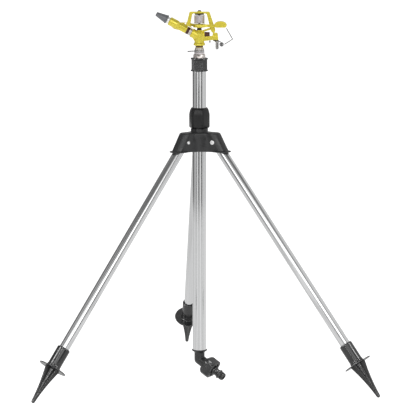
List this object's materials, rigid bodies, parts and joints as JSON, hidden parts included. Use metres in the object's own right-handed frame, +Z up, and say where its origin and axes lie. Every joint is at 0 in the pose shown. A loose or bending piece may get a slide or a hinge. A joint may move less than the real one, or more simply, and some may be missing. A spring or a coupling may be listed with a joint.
{
  "type": "tripod sprinkler",
  "caption": "Impact sprinkler head on a height-adjustable metal riser tube, held by a clamp hub on a splayed tripod with ground spikes and a hose inlet elbow at its foot.",
  "frame": {"origin": "centre of the bounding box in plan, on the ground under the three spike tips; the riser stands 94.9 mm in front of it, towards -Y", "axes": "+Z up along the riser, -Y towards the viewer, with one leg pointing back along +Y and two forwards at 30 degrees to each side; the nozzle points to -X"},
  "size_m": [0.671, 0.5832, 0.7346],
  "materials": {
    "black_plastic": "satin",
    "soft_black_plastic": "matt",
    "nylon": "satin",
    "bright_tube": "polished",
    "seal_rubber": "matt",
    "bare_zinc": "satin",
    "spring_steel": "bright",
    "dark_steel": "satin",
    "dark_gasket": "satin",
    "nozzle_plastic": "satin",
    "yellow_casting": "gloss"
  },
  "bodies": {
    "hub": {"hub_body": "black_plastic", "neck_collet": "nylon", "leg_bolt_left": "spring_steel", "leg_nut_left": "spring_steel", "leg_bolt_right": "spring_steel", "leg_nut_right": "spring_steel", "leg_bolt_rear": "spring_steel", "leg_nut_rear": "spring_steel"},
    "clamp": {"clamp_nut": "soft_black_plastic"},
    "riser": {"riser_tube": "bright_tube", "top_fitting": "black_plastic", "top_seal": "seal_rubber", "elbow_seal": "seal_rubber", "inlet_elbow": "black_plastic", "coupling_washer": "seal_rubber", "inlet_nipple": "black_plastic", "nipple_seal": "seal_rubber", "bearing_adapter": "bare_zinc"},
    "coupling": {"coupling_nut": "black_plastic"},
    "lower_collar": {"lower_stop_collar": "spring_steel"},
    "upper_collar": {"upper_stop_collar": "spring_steel"},
    "head": {"head_body": "yellow_casting", "head_stem": "bare_zinc", "thrust_washer": "nylon", "bearing_cap": "bare_zinc", "bearing_spring": "spring_steel", "bearing_washer": "dark_gasket", "barrel_lock_ring": "bare_zinc", "barrel_gasket": "dark_gasket", "barrel": "yellow_casting", "nozzle": "nozzle_plastic", "rear_plug": "dark_gasket", "pivot_pin": "dark_steel", "spring_cap": "dark_steel", "arm_spring": "spring_steel", "trip_pin": "spring_steel", "trip_bracket": "dark_steel", "trip_spring": "spring_steel", "rocker_stop": "dark_steel"},
    "arm": {"drive_arm": "yellow_casting", "arm_bush": "dark_steel"},
    "trip": {"trip_rocker": "spring_steel", "trip_finger": "spring_steel", "finger_spring": "spring_steel"},
    "leg_left": {"leg_tube_left": "bright_tube", "leg_lug_left": "black_plastic", "foot_spike_left": "black_plastic"},
    "leg_right": {"leg_tube_right": "bright_tube", "leg_lug_right": "black_plastic", "foot_spike_right": "black_plastic"},
    "leg_rear": {"leg_tube_rear": "bright_tube", "leg_lug_rear": "black_plastic", "foot_spike_rear": "black_plastic"}
  },
  "joints": [
    {"name": "leg_fold_left", "type": "hinge", "parent": "hub", "child": "leg_left", "pos_m": [-0.02996, -0.11217, 0.47812], "axis": [0.5, -0.866, 0], "range_deg": [0, 26]},
    {"name": "leg_fold_right", "type": "hinge", "parent": "hub", "child": "leg_right", "pos_m": [0.02996, -0.11217, 0.47812], "axis": [0.5, 0.866, 0], "range_deg": [0, 26]},
    {"name": "leg_fold_rear", "type": "hinge", "parent": "hub", "child": "leg_rear", "pos_m": [0, -0.06027, 0.47812], "axis": [-1, 0, 0], "range_deg": [0, 26]},
    {"name": "clamp_turn", "type": "hinge", "parent": "hub", "child": "clamp", "pos_m": [0, -0.09487, 0.523], "axis": [0, 0, 1], "range_deg": [0, 180]},
    {"name": "riser_slide", "type": "slide", "parent": "hub", "child": "riser", "axis": [0, 0, 1], "range_m": [0, 0.25]},
    {"name": "coupling_turn", "type": "hinge", "parent": "riser", "child": "coupling", "pos_m": [0, -0.09487, 0.04135], "axis": [0.7263, -0.4717, -0.5], "continuous": true},
    {"name": "lower_collar_turn", "type": "hinge", "parent": "riser", "child": "lower_collar", "pos_m": [0, -0.09487, 0.651], "axis": [0, 0, 1], "continuous": true},
    {"name": "upper_collar_turn", "type": "hinge", "parent": "riser", "child": "upper_collar", "pos_m": [0, -0.09487, 0.6547], "axis": [0, 0, 1], "continuous": true},
    {"name": "head_turn", "type": "hinge", "parent": "riser", "child": "head", "pos_m": [0, -0.09487, 0.6658], "axis": [0, 0, 1], "continuous": true},
    {"name": "arm_swing", "type": "hinge", "parent": "head", "child": "arm", "pos_m": [0, -0.09487, 0.704], "axis": [0, 0, 1], "range_deg": [-80, 0], "stiffness_Nm_per_rad": 0.02, "springref_deg": 34.38},
    {"name": "trip_turn", "type": "hinge", "parent": "head", "child": "trip", "pos_m": [0.03432, -0.09727, 0.66575], "axis": [0, 0, 1], "range_deg": [0, 25]}
  ]
}
